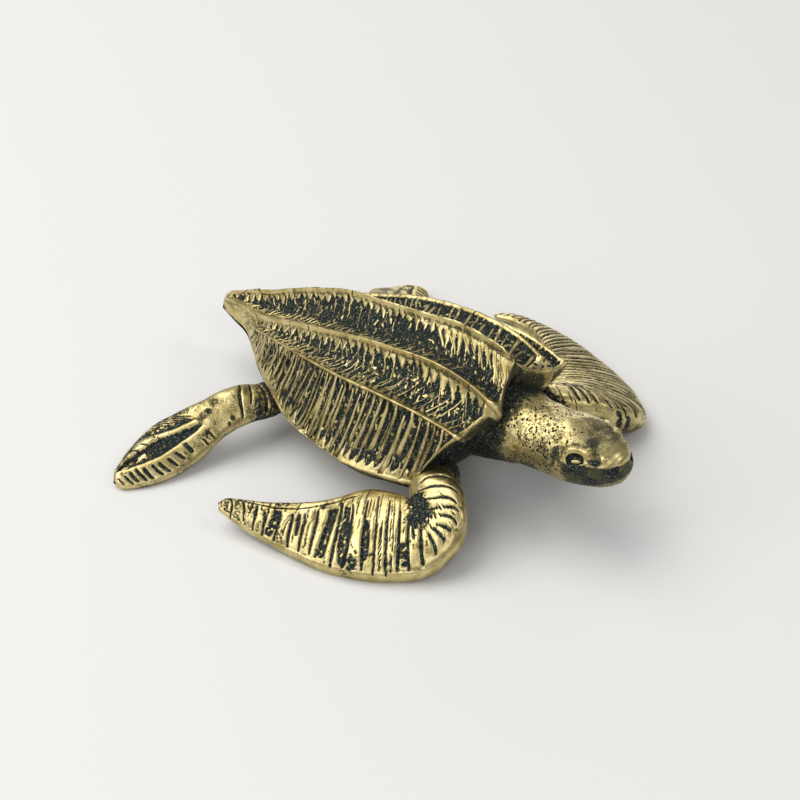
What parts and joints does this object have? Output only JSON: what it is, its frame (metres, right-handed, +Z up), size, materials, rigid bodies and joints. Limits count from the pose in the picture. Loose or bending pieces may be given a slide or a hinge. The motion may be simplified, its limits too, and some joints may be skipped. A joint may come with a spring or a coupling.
{
  "type": "turtle figurine",
  "caption": "Small cast brass leatherback turtle ornament with a ridged shell, standing on its flippers.",
  "frame": {"origin": "on the ground, under the middle of the figurine's box", "axes": "+Z up, -Y the way the head looks, +X the turtle's left"},
  "size_m": [0.053, 0.058, 0.0191],
  "materials": {
    "aged_brass": "cast and polished on the high places, with a dark patina in the hollows"
  },
  "bodies": {
    "root": {"carapace": "aged_brass", "torso": "aged_brass", "head": "aged_brass", "front_flipper_right": "aged_brass", "front_flipper_left": "aged_brass", "rear_flipper_right": "aged_brass", "rear_flipper_left": "aged_brass"}
  },
  "joints": []
}
